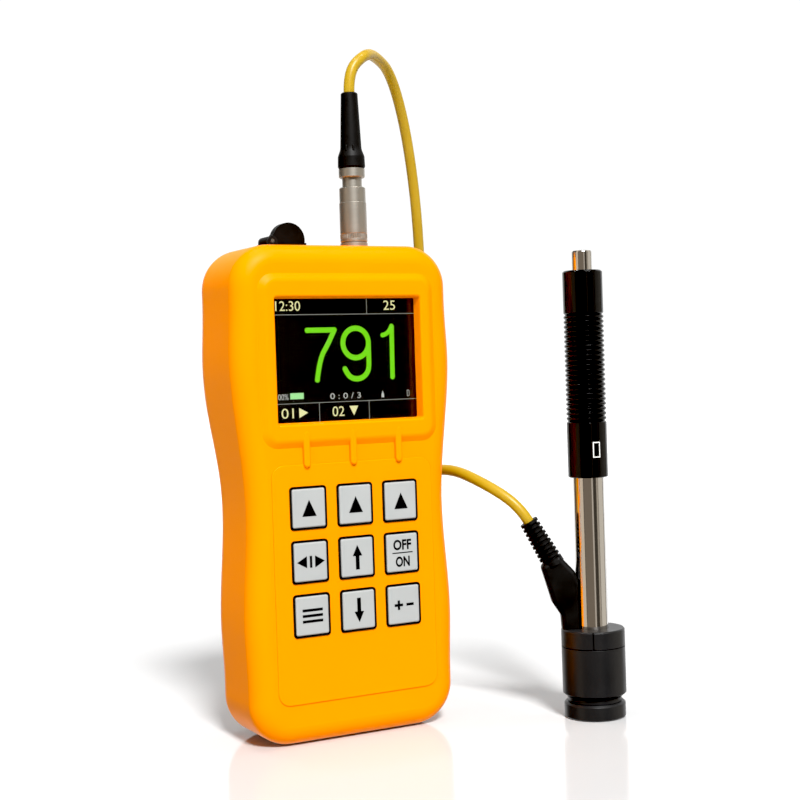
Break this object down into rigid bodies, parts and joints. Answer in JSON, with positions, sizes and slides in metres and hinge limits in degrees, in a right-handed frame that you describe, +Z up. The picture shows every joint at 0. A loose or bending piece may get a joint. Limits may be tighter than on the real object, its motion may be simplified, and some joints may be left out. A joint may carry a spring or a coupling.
{
  "type": "leeb hardness tester",
  "caption": "Hand-held rebound hardness tester: upright unit with display and keypad, and a separate impact device on a support ring, joined by a thin cable.",
  "frame": {"origin": "middle of the hand unit's base, on the surface it stands on", "axes": "+Z up along the hand unit, -Y the way the display faces, +X to the right of the display, towards the impact device"},
  "size_m": [0.1227, 0.1315, 0.2197],
  "materials": {
    "housing": "fine matt orange-yellow moulding",
    "black_plastic": "matt black",
    "black_rubber": "matt",
    "key_grey": "matt",
    "lens": "clear, polished",
    "display": "dark, glossy",
    "board": "satin solder mask",
    "chip": "matt",
    "steel": "fine turned",
    "chrome": "polished",
    "black_anodised": "black anodised, satin",
    "nickel": "satin",
    "spring_steel": "bright wire",
    "copper": "enamelled wire",
    "cell": "printed sleeve",
    "cable": "smooth jacket",
    "magnet": "plated"
  },
  "bodies": {
    "base": {"front_cover": "housing", "rear_cover": "housing", "battery_door": "housing", "battery_door_screw": "steel", "battery_left": "cell", "battery_right": "cell", "battery_springs": "spring_steel", "battery_plates": "nickel", "display_window": "lens", "display_panel": "display", "display_frame": "black_plastic", "keypad_mat": "black_rubber", "main_board": "board", "key_switches": "black_plastic", "board_chips": "chip", "board_screws": "steel", "case_screws": "steel", "usb_socket": "nickel", "cover_anchor": "black_plastic", "cover_pin": "steel", "probe_socket": "nickel", "socket_nut": "nickel", "socket_insert": "black_plastic", "plug_body": "nickel", "plug_nut": "nickel", "plug_relief": "black_rubber", "plug_insert": "black_plastic", "cable_upper": "cable", "cable_coil": "cable", "coil_tie": "black_plastic", "cable_lower": "cable", "cable_boot": "black_rubber", "support_ring": "black_anodised", "coil_housing": "black_anodised", "housing_cap": "black_anodised", "coil_bobbin": "black_plastic", "pickup_coil": "copper", "guide_tube": "chrome", "loading_spring": "spring_steel", "impact_spring": "spring_steel"},
    "key_1_1_cap": {"key_1_1": "key_grey"},
    "key_1_2_cap": {"key_1_2": "key_grey"},
    "key_1_3_cap": {"key_1_3": "key_grey"},
    "key_2_1_cap": {"key_2_1": "key_grey"},
    "key_2_2_cap": {"key_2_2": "key_grey"},
    "key_2_3_cap": {"key_2_3": "key_grey"},
    "key_3_1_cap": {"key_3_1": "key_grey"},
    "key_3_2_cap": {"key_3_2": "key_grey"},
    "key_3_3_cap": {"key_3_3": "key_grey"},
    "cover": {"port_cover": "black_plastic"},
    "sleeve": {"plug_sleeve": "nickel"},
    "loading": {"loading_tube": "black_anodised", "catch_chuck": "steel", "release_spring": "spring_steel"},
    "release": {"release_button": "steel"},
    "impact": {"impact_body": "steel", "ball_holder": "steel", "impact_ball": "steel", "impact_magnet": "magnet"}
  },
  "joints": [
    {"name": "key_1_1_press", "type": "slide", "parent": "base", "child": "key_1_1_cap", "axis": [0, 1, 0], "range_m": [0, 0.0005], "stiffness_N_per_m": 1500, "springref_m": -0.0002},
    {"name": "key_1_2_press", "type": "slide", "parent": "base", "child": "key_1_2_cap", "axis": [0, 1, 0], "range_m": [0, 0.0005], "stiffness_N_per_m": 1500, "springref_m": -0.0002},
    {"name": "key_1_3_press", "type": "slide", "parent": "base", "child": "key_1_3_cap", "axis": [0, 1, 0], "range_m": [0, 0.0005], "stiffness_N_per_m": 1500, "springref_m": -0.0002},
    {"name": "key_2_1_press", "type": "slide", "parent": "base", "child": "key_2_1_cap", "axis": [0, 1, 0], "range_m": [0, 0.0005], "stiffness_N_per_m": 1500, "springref_m": -0.0002},
    {"name": "key_2_2_press", "type": "slide", "parent": "base", "child": "key_2_2_cap", "axis": [0, 1, 0], "range_m": [0, 0.0005], "stiffness_N_per_m": 1500, "springref_m": -0.0002},
    {"name": "key_2_3_press", "type": "slide", "parent": "base", "child": "key_2_3_cap", "axis": [0, 1, 0], "range_m": [0, 0.0005], "stiffness_N_per_m": 1500, "springref_m": -0.0002},
    {"name": "key_3_1_press", "type": "slide", "parent": "base", "child": "key_3_1_cap", "axis": [0, 1, 0], "range_m": [0, 0.0005], "stiffness_N_per_m": 1500, "springref_m": -0.0002},
    {"name": "key_3_2_press", "type": "slide", "parent": "base", "child": "key_3_2_cap", "axis": [0, 1, 0], "range_m": [0, 0.0005], "stiffness_N_per_m": 1500, "springref_m": -0.0002},
    {"name": "key_3_3_press", "type": "slide", "parent": "base", "child": "key_3_3_cap", "axis": [0, 1, 0], "range_m": [0, 0.0005], "stiffness_N_per_m": 1500, "springref_m": -0.0002},
    {"name": "port_cover_hinge", "type": "hinge", "parent": "base", "child": "cover", "pos_m": [-0.0196, -0.0016, 0.15475], "axis": [0, -1, 0], "range_deg": [0, 120]},
    {"name": "sleeve_slide", "type": "slide", "parent": "base", "child": "sleeve", "axis": [0, 0, 1], "range_m": [0, 0.0018], "stiffness_N_per_m": 800, "springref_m": -0.0005},
    {"name": "loading_slide", "type": "slide", "parent": "base", "child": "loading", "axis": [0, 0, 1], "range_m": [-0.024, 0], "stiffness_N_per_m": 400, "springref_m": 0.004, "deforming": ["loading_spring"]},
    {"name": "release_press", "type": "slide", "parent": "loading", "child": "release", "axis": [0, 0, 1], "range_m": [-0.0025, 0], "stiffness_N_per_m": 600, "springref_m": 0.0008, "deforming": ["release_spring"]},
    {"name": "impact_slide", "type": "slide", "parent": "base", "child": "impact", "axis": [0, 0, 1], "range_m": [0, 0.024], "deforming": ["impact_spring"]}
  ]
}
